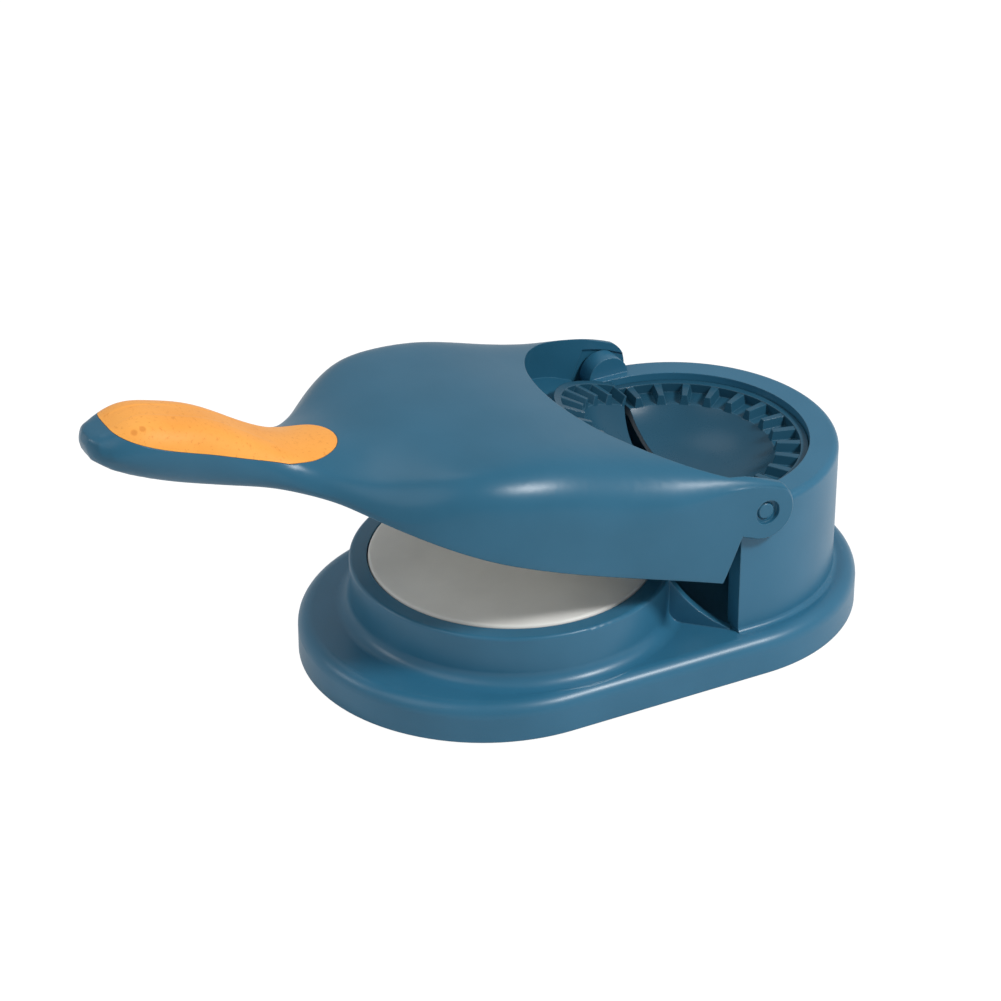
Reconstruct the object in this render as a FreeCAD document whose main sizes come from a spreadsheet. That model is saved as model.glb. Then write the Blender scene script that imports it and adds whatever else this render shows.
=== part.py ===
import FreeCAD, Part
import Sketcher
import math
import os

# A hand press that flattens a round of dough under its lever, then folds and crimps it in a
# two-part mould when the lever is swung right over.
# X runs from the handle to the tower, Z is up, the hinge runs along Y, and the feet stand on Z = 0.
# The lever's pieces are drawn in the pressed position and then turned up about the hinge.

doc = FreeCAD.newDocument("dumpling_maker")
sheet = doc.addObject("Spreadsheet::Sheet", "Sizes")

dimensions = [
    ("plate_axis_x", 10.45, "plate axis from the middle of the overall length"),
    ("hinge_reach", 59.7, "plate axis to hinge axis, along X"),
    ("hinge_height", 56.5, "hinge axis above the table"),
    ("raise_angle", 22.0, "lever lifted from the pressed position, degrees"),
    ("flange_radius", 58.5, "round ends of the base"),
    ("flange_front", 9.9, "front round's centre ahead of the plate axis"),
    ("flange_top", 13.6, "height of the ledge"),
    ("flange_shoulder", 4.6, "rounding of the ledge's outer edge"),
    ("rim_lift", 0.8, "base rim above the table"),
    ("wall", 2.6, "moulded wall"),
    ("boss_radius", 51.0, "round boss under the plate"),
    ("boss_top", 30.4, "height of the boss"),
    ("boss_foot", 4.5, "hollow rounding at the foot of the boss"),
    ("boss_edge", 1.1, "rounding of the boss's top edge"),
    ("plate_radius", 45.0, "dough plate"),
    ("plate_top", 31.1, "working face of the plate"),
    ("plate_thick", 3.7, "dough plate"),
    ("plate_edge", 1.0, "rounding of the plate's edge"),
    ("pocket_gap", 0.4, "ring gap round the plate"),
    ("tower_radius", 51.0, "outside of the tower"),
    ("tower_above", 0.8, "flat rim of the tower above the hinge axis"),
    ("tower_edge", 2.2, "rounding of the tower's rim"),
    ("tower_leg", 7.0, "tower walls ahead of the hinge axis"),
    ("opening_radius", 41.8, "round opening in the tower's rim"),
    ("rim_thick", 3.0, "tower rim"),
    ("collar_drop", 9.0, "collar below the tower's rim"),
    ("lug_inside", 44.6, "hinge lugs' inner faces from the middle"),
    ("lug_radius", 7.2, "rounded top of a hinge lug"),
    ("tower_foot", 1.6, "hollow rounding at the foot of the tower"),
    ("web_turn", 43.5, "side webs out from the boss, degrees from the middle"),
    ("web_reach", 19.6, "side web beyond the boss"),
    ("web_round", 37.0, "hollow sweep of a web's slope"),
    ("pin_radius", 2.8, "hinge pin"),
    ("pin_play", 0.06, "running clearance of the pin in the ear"),
    ("pin_end_gap", 0.9, "pin end below the ear's outer face"),
    ("ring_radius", 4.1, "shallow ring round the pin end"),
    ("ring_depth", 1.5, "shallow ring round the pin end"),
    ("cover_thick", 2.2, "bottom cover"),
    ("cover_lift", 1.2, "bottom cover above the table"),
    ("fit_gap", 0.25, "cover to wall"),
    ("foot_radius", 6.5, "rubber foot"),
    ("foot_thick", 2.0, "rubber foot"),
    ("foot_bevel", 0.5, "rubber foot's edge"),
    ("post_radius", 3.8, "screw post"),
    ("screw_radius", 1.5, "screw shank"),
    ("screw_head", 2.9, "screw head radius"),
    ("screw_head_thick", 1.7, "screw head"),
    ("screw_slot", 0.7, "width of the cross recess"),
    ("mould_rim", 41.5, "mould half's outer radius"),
    ("mould_lip", 2.4, "rim wall of a mould half"),
    ("mould_wall", 2.0, "mould shell"),
    ("crimp_inner", 31.0, "inside of the toothed band"),
    ("crimp_drop", 3.6, "toothed band below the parting plane"),
    ("ridge_height", 3.0, "crimping ridge"),
    ("ridge_half", 2.1, "half width of a ridge at the rim"),
    ("lip_drop", 0.35, "mould rim below the parting plane"),
    ("rear_sink", 1.35, "rear mould half set down in the tower"),
    ("bowl_clear", 2.0, "mould bowl above the plate inside the skirt"),
    ("bowl_floor", 9.0, "flat of the bowl's floor"),
    ("mould_split", 0.35, "mould half back from the hinge axis"),
    ("lever_reach", 205.2, "hinge axis to the tip of the handle"),
    ("lever_half", 54.5, "half width of the lever"),
    ("ear_rise", 10.0, "top of the ears above the hinge axis"),
    ("skirt_gap", 0.6, "rear end of the skirt above the boss when pressed"),
    ("skirt_back", 5.7, "rear edge of the skirt ahead of the hinge axis"),
    ("ear_inside", 51.35, "inner faces of the ears from the middle"),
    ("ear_radius", 9.9, "round end of an ear"),
    ("ear_edge", 2.9, "rounding of an ear's outer edge"),
    ("mouth_radius", 54.0, "round mouth about the hinge"),
    ("pan_drop", 5.2, "floor of the mouth below the hinge axis when pressed"),
    ("pan_hole", 38.6, "hole in the floor for the mould"),
    ("pan_back", 9.0, "floor of the mouth ahead of the hinge axis"),
    ("underside_thick", 2.4, "plate inside the skirt"),
    ("press_radius", 44.5, "press disc"),
    ("press_thick", 3.2, "press disc"),
    ("press_gap", 1.3, "dough thickness left when pressed"),
    ("press_edge", 1.2, "rounding of the press disc"),
    ("grip_depth", 2.4, "soft inlay"),
    ("grip_seam", 0.15, "seam round the inlay"),
    ("grip_round", 12.0, "round rear end of the inlay"),
    ("overrun", 5.0, "cuts run past what they cut"),
]
for row, (name, value, note) in enumerate(dimensions, 1):
    sheet.set("A%d" % row, name)
    sheet.set("B%d" % row, str(value))
    sheet.setAlias("B%d" % row, name)
    sheet.set("C%d" % row, note)
doc.recompute()


class Size:
    # A number together with the sheet formula that gives it.
    def __init__(self, value, text):
        self.value = value
        self.text = text

    def __add__(self, other):
        other = as_size(other)
        return Size(self.value + other.value, "(%s + %s)" % (self.text, other.text))

    def __sub__(self, other):
        other = as_size(other)
        return Size(self.value - other.value, "(%s - %s)" % (self.text, other.text))

    def __mul__(self, other):
        other = as_size(other)
        return Size(self.value * other.value, "(%s * %s)" % (self.text, other.text))

    def __truediv__(self, other):
        other = as_size(other)
        return Size(self.value / other.value, "(%s / %s)" % (self.text, other.text))

    def __neg__(self):
        return Size(-self.value, "(0 - %s)" % self.text)


def as_size(thing):
    if isinstance(thing, Size):
        return thing
    return Size(float(thing), "%.6f" % thing)


def dim(name):
    return Size(float(sheet.get(name)), "Sizes." + name)


zero = Size(0.0, "0")
hinge_x = dim("plate_axis_x") + dim("hinge_reach")
wall = dim("wall")
overrun = dim("overrun")
flange_radius = dim("flange_radius")
flange_top = dim("flange_top")
tower_radius = dim("tower_radius")
deck_bottom = flange_top - wall
pocket_floor = dim("plate_top") - dim("plate_thick")
cover_top = dim("cover_lift") + dim("cover_thick")
parting = dim("hinge_height")
tower_top = parting + dim("tower_above")
skirt_edge = dim("boss_top") + dim("skirt_gap")
press_bottom = dim("plate_top") + dim("press_gap")
underside_level = press_bottom + dim("press_thick")
underside_top = underside_level + dim("underside_thick")
pan_level = parting - dim("pan_drop")


def bind(thing, prop, size):
    thing.setExpression(prop, size.text)


def plane_of(body, role):
    for feature in body.Origin.OriginFeatures:
        if feature.Role == role:
            return feature


def new_body(name):
    body = doc.addObject("PartDesign::Body", name)
    body.Label = name
    return body


def new_sketch(body, name, role, lift=None):
    sketch = body.newObject("Sketcher::SketchObject", name)
    sketch.AttachmentSupport = [(plane_of(body, role), "")]
    sketch.MapMode = "FlatFace"
    if lift is not None:
        sketch.setExpression("AttachmentOffset.Base.z", lift.text)
    return sketch


def hold(sketch, constraint, size):
    index = sketch.addConstraint(constraint)
    sketch.setExpression("Constraints[%d]" % index, size.text)


def fix_point(sketch, geo, pos, x, y):
    if x.value == 0:
        sketch.addConstraint(Sketcher.Constraint("PointOnObject", geo, pos, -2))
    else:
        hold(sketch, Sketcher.Constraint("DistanceX", -1, 1, geo, pos, x.value), x)
    if y.value == 0:
        sketch.addConstraint(Sketcher.Constraint("PointOnObject", geo, pos, -1))
    else:
        hold(sketch, Sketcher.Constraint("DistanceY", -1, 1, geo, pos, y.value), y)


def bend(sketch, start, end, radius):
    # An arc of less than half a turn, hollow on the right of the way from start to end.
    chord = end.sub(start)
    normal = FreeCAD.Vector(-chord.y, chord.x, 0).normalize()
    back = math.sqrt(radius.value ** 2 - (chord.Length / 2) ** 2)
    centre = start.add(end).multiply(0.5).sub(normal.multiply(back))
    ring = Part.Circle(centre, FreeCAD.Vector(0, 0, 1), radius.value)
    from_angle = math.atan2(end.y - centre.y, end.x - centre.x)
    to_angle = math.atan2(start.y - centre.y, start.x - centre.x)
    return sketch.addGeometry(Part.ArcOfCircle(ring, from_angle, to_angle), False)


def polygon(sketch, corners, bends=()):
    # A closed outline. A run named in bends is an arc, from the corner of that number to the next.
    # A plus radius is hollow on the right of the way, a minus radius on the left.
    radii = dict(bends)
    count = len(corners)
    runs = []
    for index in range(count):
        here = corners[index]
        there = corners[(index + 1) % count]
        start = FreeCAD.Vector(here[0].value, here[1].value, 0)
        end = FreeCAD.Vector(there[0].value, there[1].value, 0)
        radius = radii.get(index)
        if radius is None:
            runs.append((sketch.addGeometry(Part.LineSegment(start, end), False), 1, 2))
        elif radius.value > 0:
            runs.append((bend(sketch, start, end, radius), 2, 1))
        else:
            runs.append((bend(sketch, end, start, -radius), 1, 2))
    for here, there in zip(runs, runs[1:] + runs[:1]):
        sketch.addConstraint(Sketcher.Constraint("Coincident", here[0], here[2], there[0], there[1]))
    for run, corner in zip(runs, corners):
        fix_point(sketch, run[0], run[1], corner[0], corner[1])
    for index, radius in radii.items():
        size = radius if radius.value > 0 else -radius
        hold(sketch, Sketcher.Constraint("Radius", runs[index][0], size.value), size)


def circle(sketch, x, y, radius):
    centre = FreeCAD.Vector(x.value, y.value, 0)
    up = FreeCAD.Vector(0, 0, 1)
    geo = sketch.addGeometry(Part.Circle(centre, up, radius.value), False)
    fix_point(sketch, geo, 3, x, y)
    hold(sketch, Sketcher.Constraint("Radius", geo, radius.value), radius)


def round_arc(sketch, x, radius, start, end):
    centre = FreeCAD.Vector(x.value, 0, 0)
    ring = Part.Circle(centre, FreeCAD.Vector(0, 0, 1), radius.value)
    return sketch.addGeometry(Part.ArcOfCircle(ring, start, end), False)


def straight(sketch, start, end):
    ends = [FreeCAD.Vector(point[0], point[1], 0) for point in (start, end)]
    return sketch.addGeometry(Part.LineSegment(ends[0], ends[1]), False)


def stadium(sketch, front, rear, radius):
    quarter = math.pi / 2
    fore = round_arc(sketch, front, radius, quarter, 3 * quarter)
    aft = round_arc(sketch, rear, radius, -quarter, quarter)
    reach = radius.value
    right = straight(sketch, (front.value, -reach), (rear.value, -reach))
    left = straight(sketch, (rear.value, reach), (front.value, reach))
    for one, two in ((fore, right), (right, aft), (aft, left), (left, fore)):
        sketch.addConstraint(Sketcher.Constraint("Tangent", one, 2, two, 1))
    fix_point(sketch, fore, 3, front, zero)
    fix_point(sketch, aft, 3, rear, zero)
    hold(sketch, Sketcher.Constraint("Radius", fore, reach), radius)
    sketch.addConstraint(Sketcher.Constraint("Equal", fore, aft))


def arch(sketch, x, leg, outer, inner):
    # A U in plan: two round walls about the hinge with straight legs towards the front.
    quarter = math.pi / 2
    big = round_arc(sketch, x, outer, -quarter, quarter)
    small = round_arc(sketch, x, inner, -quarter, quarter)
    fore = x.value - leg.value
    far = straight(sketch, (x.value, outer.value), (fore, outer.value))
    far_end = straight(sketch, (fore, outer.value), (fore, inner.value))
    far_in = straight(sketch, (fore, inner.value), (x.value, inner.value))
    near_in = straight(sketch, (x.value, -inner.value), (fore, -inner.value))
    near_end = straight(sketch, (fore, -inner.value), (fore, -outer.value))
    near = straight(sketch, (fore, -outer.value), (x.value, -outer.value))
    sketch.addConstraint(Sketcher.Constraint("Coincident", far_in, 2, small, 2))
    sketch.addConstraint(Sketcher.Constraint("Coincident", small, 1, near_in, 1))
    for one, two in ((big, far), (near, big)):
        sketch.addConstraint(Sketcher.Constraint("Coincident", one, 2, two, 1))
    for one, two in ((far, far_end), (far_end, far_in), (near_in, near_end), (near_end, near)):
        sketch.addConstraint(Sketcher.Constraint("Coincident", one, 2, two, 1))
    for line in (far, far_in, near_in, near):
        sketch.addConstraint(Sketcher.Constraint("Horizontal", line))
    for line in (far_end, near_end):
        sketch.addConstraint(Sketcher.Constraint("Vertical", line))
    for arc in (big, small):
        fix_point(sketch, arc, 3, x, zero)
    hold(sketch, Sketcher.Constraint("Radius", big, outer.value), outer)
    hold(sketch, Sketcher.Constraint("Radius", small, inner.value), inner)
    for line in (far, near_in):
        hold(sketch, Sketcher.Constraint("DistanceX", -1, 1, line, 2, fore), x - leg)
    for line in (far, far_in, near_in, near):
        end = 1 if line in (far, near_in) else 2
        hold(sketch, Sketcher.Constraint("DistanceX", -1, 1, line, end, x.value), x)


def pad(body, sketch, name, length, reverse=False, middle=False):
    feature = body.newObject("PartDesign::Pad", name)
    feature.Profile = sketch
    bind(feature, "Length", length)
    feature.Reversed = reverse
    feature.Midplane = middle
    sketch.Visibility = False
    return feature


def pocket(body, sketch, name, length, reverse=False, middle=False):
    feature = body.newObject("PartDesign::Pocket", name)
    feature.Profile = sketch
    bind(feature, "Length", length)
    feature.Reversed = reverse
    feature.Midplane = middle
    return feature


def turned(body, sketch, name, angle=None):
    feature = body.newObject("PartDesign::Revolution", name)
    feature.Profile = sketch
    feature.ReferenceAxis = (sketch, ["V_Axis"])
    feature.Angle = 360.0 if angle is None else angle
    return feature


def fillet(body, base, name, radius, chosen):
    doc.recompute()
    names = []
    for index, edge in enumerate(base.Shape.Edges, 1):
        if chosen(edge):
            names.append("Edge%d" % index)
    feature = body.newObject("PartDesign::Fillet", name)
    feature.Base = (base, names)
    bind(feature, "Radius", radius)
    return feature


def level(edge, height):
    box = edge.BoundBox
    near = overrun.value / 1000
    return abs(box.ZMin - height.value) < near and abs(box.ZMax - height.value) < near


def ring_edge(edge, radius):
    near = overrun.value / 1000
    return isinstance(edge.Curve, Part.Circle) and abs(edge.Curve.Radius - radius.value) < near


pieces = []


def keep(node):
    pieces.append(node)
    return node


# base_shell: flange, boss and tower in one moulding, open below.
base = keep(new_body("base_shell"))
base.setExpression("Placement.Base.x", dim("plate_axis_x").text)
reach = dim("hinge_reach")
flange_sketch = new_sketch(base, "flange_outline", "XY_Plane", dim("rim_lift"))
stadium(flange_sketch, -dim("flange_front"), reach, flange_radius)
flange = pad(base, flange_sketch, "flange", flange_top - dim("rim_lift"))


def ledge_edge(edge):
    return level(edge, flange_top)


shoulder = fillet(base, flange, "flange_shoulder_round", dim("flange_shoulder"), ledge_edge)

wall_sketch = new_sketch(base, "tower_wall_outline", "XY_Plane", deck_bottom)
arch(wall_sketch, reach, dim("tower_leg"), tower_radius, tower_radius - wall)
tower_wall = pad(base, wall_sketch, "tower_wall", tower_top - deck_bottom)


def tower_foot_edge(edge):
    if not level(edge, flange_top):
        return False
    sides = [abs(vertex.Y) / tower_radius.value for vertex in edge.Vertexes]
    return 0.999 < min(sides) and max(sides) < 1.001


tower_foot = fillet(base, tower_wall, "tower_foot_round", dim("tower_foot"), tower_foot_edge)

boss_sketch = new_sketch(base, "boss_profile", "XZ_Plane")
foot_outer = dim("boss_radius") + dim("boss_foot") * 1.07
polygon(boss_sketch, [
    (zero, deck_bottom),
    (foot_outer, deck_bottom),
    (foot_outer, flange_top),
    (dim("boss_radius"), flange_top),
    (dim("boss_radius"), dim("boss_top")),
    (zero, dim("boss_top")),
])
boss = turned(base, boss_sketch, "boss")


def foot_edge(edge):
    return level(edge, flange_top) and ring_edge(edge, dim("boss_radius"))


foot_round = fillet(base, boss, "boss_foot_round", dim("boss_foot"), foot_edge)


def top_edge(edge):
    return level(edge, dim("boss_top")) and ring_edge(edge, dim("boss_radius"))


boss_round = fillet(base, foot_round, "boss_edge_round", dim("boss_edge"), top_edge)

rim_sketch = new_sketch(base, "tower_rim_outline", "XY_Plane", tower_top - dim("rim_thick"))
arch(rim_sketch, reach, dim("tower_leg"), tower_radius - wall / 2, dim("opening_radius"))
tower_rim = pad(base, rim_sketch, "tower_rim", dim("rim_thick"))


def tower_edge(edge):
    outside = max(abs(vertex.Y) for vertex in edge.Vertexes) > tower_radius.value * 0.999
    return level(edge, tower_top) and outside and edge.Length > dim("tower_leg").value * 0.9


tower_round = fillet(base, tower_rim, "tower_edge_round", dim("tower_edge"), tower_edge)
collar_sketch = new_sketch(base, "collar_outline", "XY_Plane", tower_top - dim("collar_drop"))
arch(collar_sketch, reach, dim("tower_leg"), dim("opening_radius") + wall, dim("opening_radius"))
collar = pad(base, collar_sketch, "collar", dim("collar_drop") - dim("rim_thick") / 2)

column_sketch = new_sketch(base, "lug_columns", "XY_Plane", deck_bottom)
for side in (1, -1):
    inside = dim("lug_inside") * side
    outside = (tower_radius - wall / 2) * side
    polygon(column_sketch, [
        (reach - dim("tower_leg"), inside),
        (reach + dim("tower_leg"), inside),
        (reach + dim("tower_leg"), outside),
        (reach - dim("tower_leg"), outside),
    ])
columns = pad(base, column_sketch, "lug_column_pad", tower_top - dim("rim_thick") / 2 - deck_bottom)
for side, word in ((1, "right"), (-1, "left")):
    lug_sketch = new_sketch(base, "lug_%s" % word, "XZ_Plane", dim("lug_inside") * side)
    circle(lug_sketch, reach, parting, dim("lug_radius"))
    lug = pad(base, lug_sketch, "lug_%s_pad" % word, tower_radius - dim("lug_inside"), side < 0)
    # The web is drawn on an upright plane through the plate axis, turned out to the side.
    web_sketch = new_sketch(base, "web_%s" % word, "XZ_Plane")
    turn = FreeCAD.Rotation(FreeCAD.Vector(0, 1, 0), -dim("web_turn").value * side)
    web_sketch.AttachmentOffset = FreeCAD.Placement(FreeCAD.Vector(0, 0, 0), turn)
    web_top = dim("boss_top") - dim("boss_edge") * 1.6
    web_end = dim("boss_radius") + dim("web_reach")
    web_root = dim("boss_radius") - wall * 0.7
    polygon(web_sketch, [
        (web_root, web_top),
        (web_root, deck_bottom),
        (web_end, deck_bottom),
        (web_end, flange_top + wall / 8),
        (dim("boss_radius"), web_top),
    ], [(3, dim("web_round"))])
    web = pad(base, web_sketch, "web_%s_pad" % word, wall, side > 0)

hollow_sketch = new_sketch(base, "underside_hollow", "XY_Plane", deck_bottom)
stadium(hollow_sketch, -dim("flange_front"), reach, flange_radius - wall)
hollow = pocket(base, hollow_sketch, "underside_hollow_cut", deck_bottom)
drum_sketch = new_sketch(base, "boss_hollow", "XY_Plane", pocket_floor - wall)
circle(drum_sketch, zero, zero, dim("boss_radius") - wall)
drum = pocket(base, drum_sketch, "boss_hollow_cut", pocket_floor - wall)
seat_sketch = new_sketch(base, "plate_seat", "XY_Plane", pocket_floor)
circle(seat_sketch, zero, zero, dim("plate_radius") + dim("pocket_gap"))
seat = pocket(base, seat_sketch, "plate_seat_cut", dim("plate_thick") + overrun, True)

post_front = (-dim("flange_front") - flange_radius + wall * 2 + dim("post_radius"), zero)
post_side = (reach - dim("tower_leg") * 1.6, flange_radius - wall * 1.6 - dim("post_radius"))
post_rear = (reach + flange_radius * 0.62, flange_radius * 0.52)
cover_posts = [
    post_front,
    post_side,
    (post_side[0], -post_side[1]),
    post_rear,
    (post_rear[0], -post_rear[1]),
]
post_sketch = new_sketch(base, "cover_posts", "XY_Plane", cover_top)
for spot in cover_posts:
    circle(post_sketch, spot[0], spot[1], dim("post_radius"))
posts = pad(base, post_sketch, "cover_post_pad", deck_bottom + wall / 4 - cover_top)
bore_sketch = new_sketch(base, "cover_post_bores", "XY_Plane", cover_top)
for spot in cover_posts:
    circle(bore_sketch, spot[0], spot[1], dim("screw_radius"))
bores = pocket(base, bore_sketch, "cover_post_bore_cut", deck_bottom - cover_top, True)

plate_ring = dim("plate_radius") * 0.6
turn_shares = (0.0, 1.0 / 3.0, 2.0 / 3.0)


def on_ring(radius, share):
    angle = 2 * math.pi * share + math.pi
    return (radius * math.cos(angle), radius * math.sin(angle))


plate_spots = [on_ring(plate_ring, share) for share in turn_shares]
plate_hole_sketch = new_sketch(base, "plate_screw_holes", "XY_Plane", pocket_floor)
for spot in plate_spots:
    circle(plate_hole_sketch, spot[0], spot[1], dim("screw_radius"))
plate_holes = pocket(base, plate_hole_sketch, "plate_screw_hole_cut", wall + overrun)

mould_spot = dim("mould_rim") * 0.38
rear_spots = [
    (mould_spot, mould_spot),
    (mould_spot, -mould_spot),
]
rear_hole_sketch = new_sketch(base, "rear_mould_holes", "XY_Plane", flange_top)
for spot in rear_spots:
    circle(rear_hole_sketch, reach + spot[0], spot[1], dim("screw_radius"))
rear_holes = pocket(base, rear_hole_sketch, "rear_mould_hole_cut", wall + wall)

# The pins go into blind bores from outside.
pin_seat = dim("lug_inside") + wall * 0.6
for side, word in ((1, "right"), (-1, "left")):
    pin_sketch = new_sketch(base, "pin_bore_%s" % word, "XZ_Plane", pin_seat * side)
    circle(pin_sketch, reach, parting, dim("pin_radius"))
    pin_bore = pocket(base, pin_sketch, "pin_bore_%s_cut" % word, tower_radius + overrun - pin_seat, side > 0)

# bottom_cover: a flat plate inside the rim, recessed for the feet.
cover = keep(new_body("bottom_cover"))
cover.setExpression("Placement.Base.x", dim("plate_axis_x").text)
cover_sketch = new_sketch(cover, "cover_outline", "XY_Plane", dim("cover_lift"))
stadium(cover_sketch, -dim("flange_front"), reach, flange_radius - wall - dim("fit_gap"))
cover_pad = pad(cover, cover_sketch, "cover_plate", dim("cover_thick"))
foot_front = (-dim("flange_front") - flange_radius * 0.55, zero)
foot_middle = (zero, flange_radius * 0.72)
foot_rear = (reach + flange_radius * 0.28, flange_radius * 0.72)
foot_spots = [
    ("foot_front", foot_front),
    ("foot_middle_right", (foot_middle[0], -foot_middle[1])),
    ("foot_middle_left", foot_middle),
    ("foot_rear_right", (foot_rear[0], -foot_rear[1])),
    ("foot_rear_left", foot_rear),
]
recess_sketch = new_sketch(cover, "foot_recesses", "XY_Plane", dim("foot_thick"))
for name, spot in foot_spots:
    circle(recess_sketch, spot[0], spot[1], dim("foot_radius"))
recess = pocket(cover, recess_sketch, "foot_recess_cut", dim("foot_thick") + overrun)
sink_sketch = new_sketch(cover, "screw_sinks", "XY_Plane", dim("cover_lift") + dim("screw_head_thick"))
for spot in cover_posts:
    circle(sink_sketch, spot[0], spot[1], dim("screw_head") + dim("fit_gap"))
sinks = pocket(cover, sink_sketch, "screw_sink_cut", dim("screw_head_thick") + overrun)
through_sketch = new_sketch(cover, "screw_holes", "XY_Plane", cover_top)
for spot in cover_posts:
    circle(through_sketch, spot[0], spot[1], dim("screw_radius"))
through = pocket(cover, through_sketch, "screw_hole_cut", dim("cover_thick") + overrun)

# Rubber feet, set into the cover.
for name, spot in foot_spots:
    foot = keep(new_body(name))
    foot_sketch = new_sketch(foot, name + "_profile", "XZ_Plane")
    polygon(foot_sketch, [
        (zero, zero),
        (dim("foot_radius") - dim("foot_bevel"), zero),
        (dim("foot_radius"), dim("foot_bevel")),
        (dim("foot_radius"), dim("foot_thick")),
        (zero, dim("foot_thick")),
    ])
    turned(foot, foot_sketch, name + "_disc")
    foot.setExpression("Placement.Base.x", (dim("plate_axis_x") + spot[0]).text)
    foot.setExpression("Placement.Base.y", spot[1].text)

# dough_plate: the disc that the dough lies on, with blind screw holes below.
plate = keep(new_body("dough_plate"))
plate.setExpression("Placement.Base.x", dim("plate_axis_x").text)
plate_sketch = new_sketch(plate, "plate_profile", "XZ_Plane")
polygon(plate_sketch, [
    (zero, pocket_floor),
    (dim("plate_radius"), pocket_floor),
    (dim("plate_radius"), dim("plate_top")),
    (zero, dim("plate_top")),
])
plate_disc = turned(plate, plate_sketch, "plate_disc")


def plate_rim(edge):
    return level(edge, dim("plate_top"))


plate_round = fillet(plate, plate_disc, "plate_edge_round", dim("plate_edge"), plate_rim)
blind_sketch = new_sketch(plate, "plate_blind_holes", "XY_Plane", pocket_floor)
for spot in plate_spots:
    circle(blind_sketch, spot[0], spot[1], dim("screw_radius"))
blind = pocket(plate, blind_sketch, "plate_blind_hole_cut", dim("plate_thick") * 0.7, True)


# The two mould halves: a half bowl, a toothed band round it and a raised rim.
ridge_count = 26


def tangent_radius(run, rise):
    # The arc that leaves a flat floor smoothly and climbs by the rise over the run.
    return (run * run + rise * rise) / (rise * 2)


def mould_half(name, side, spots, post_bottom, rim_bottom, sink):
    body = keep(new_body(name))
    profile = new_sketch(body, name + "_profile", "XZ_Plane")
    band = parting - dim("crimp_drop") - sink
    lip_top = parting - dim("lip_drop") - sink
    floor = underside_top + dim("bowl_clear") + dim("mould_wall")
    under = floor - dim("mould_wall")
    brim = dim("crimp_inner") + dim("mould_wall") / 2
    inner_run = dim("crimp_inner") - dim("bowl_floor")
    outer_run = brim - dim("bowl_floor")
    inner_bend = tangent_radius(inner_run, band - floor)
    outer_bend = tangent_radius(outer_run, rim_bottom - under)
    polygon(profile, [
        (zero, floor),
        (dim("bowl_floor"), floor),
        (dim("crimp_inner"), band),
        (dim("mould_rim") - dim("mould_lip"), band),
        (dim("mould_rim") - dim("mould_lip"), lip_top),
        (dim("mould_rim"), lip_top),
        (dim("mould_rim"), rim_bottom),
        (brim, rim_bottom),
        (dim("bowl_floor"), under),
        (zero, under),
    ], [(1, -inner_bend), (7, outer_bend)])
    bowl = turned(body, profile, name + "_bowl", 360.0)
    ridge_sketch = new_sketch(body, name + "_ridge", "XY_Plane", band - dim("mould_wall") / 4)
    # The front half's ridges stand half a pitch round, so that they close between the rear half's.
    turn = 0 if side > 0 else 180 / ridge_count
    ridge_sketch.AttachmentOffset.Rotation = FreeCAD.Rotation(FreeCAD.Vector(0, 0, 1), turn)
    inner = dim("crimp_inner") * 0.99
    outer = dim("mould_rim") - dim("mould_lip") / 2
    narrow = dim("ridge_half") * 0.8
    polygon(ridge_sketch, [
        (inner, -narrow),
        (outer, -dim("ridge_half")),
        (outer, dim("ridge_half")),
        (inner, narrow),
    ])
    ridge = pad(body, ridge_sketch, name + "_ridge_pad", dim("ridge_height") + dim("mould_wall") / 4)
    ridge.TaperAngle = -14
    pattern = body.newObject("PartDesign::PolarPattern", name + "_ridges")
    pattern.Originals = [ridge]
    pattern.Axis = (ridge_sketch, ["N_Axis"])
    pattern.Angle = 360.0
    pattern.Occurrences = ridge_count
    body.Tip = pattern
    post_sketch_two = new_sketch(body, name + "_posts", "XY_Plane", post_bottom)
    for spot in spots:
        circle(post_sketch_two, spot[0], spot[1], dim("post_radius"))
    post_height = floor + dim("mould_wall") * 0.7 - post_bottom
    pad(body, post_sketch_two, name + "_post_pad", post_height)
    bore_two = new_sketch(body, name + "_bores", "XY_Plane", post_bottom)
    for spot in spots:
        circle(bore_two, spot[0], spot[1], dim("screw_radius"))
    pocket(body, bore_two, name + "_bore_cut", post_height * 0.7, True)
    split = new_sketch(body, name + "_split", "XY_Plane", parting + overrun)
    far = dim("mould_rim") + overrun
    edge = dim("mould_split")
    polygon(split, [
        (edge * side, -far),
        (-far * side, -far),
        (-far * side, far),
        (edge * side, far),
    ])
    pocket(body, split, name + "_split_cut", parting + overrun * 2)
    return body


collar_bottom = tower_top - dim("collar_drop")
rear_mould = mould_half("rear_mould", 1, rear_spots, flange_top, collar_bottom, dim("rear_sink"))
rear_mould.setExpression("Placement.Base.x", hinge_x.text)
front_spots = [
    (-mould_spot, mould_spot),
    (-mould_spot, -mould_spot),
]
front_mould = mould_half("front_mould", -1, front_spots, underside_top, pan_level, zero)

# press_disc: hangs under the lever and meets the dough.
press = keep(new_body("press_disc"))
press_sketch = new_sketch(press, "press_profile", "XZ_Plane")
polygon(press_sketch, [
    (zero, press_bottom),
    (dim("press_radius"), press_bottom),
    (dim("press_radius"), underside_level),
    (zero, underside_level),
])
press_turn = turned(press, press_sketch, "press_turn")


def press_rim(edge):
    return level(edge, press_bottom)


press_round = fillet(press, press_turn, "press_edge_round", dim("press_edge"), press_rim)
press_holes = new_sketch(press, "press_blind_holes", "XY_Plane", underside_level)
for spot in plate_spots:
    circle(press_holes, spot[0], spot[1], dim("screw_radius"))
press_hole_cut = pocket(press, press_holes, "press_blind_hole_cut", dim("press_thick") * 0.7)

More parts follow.
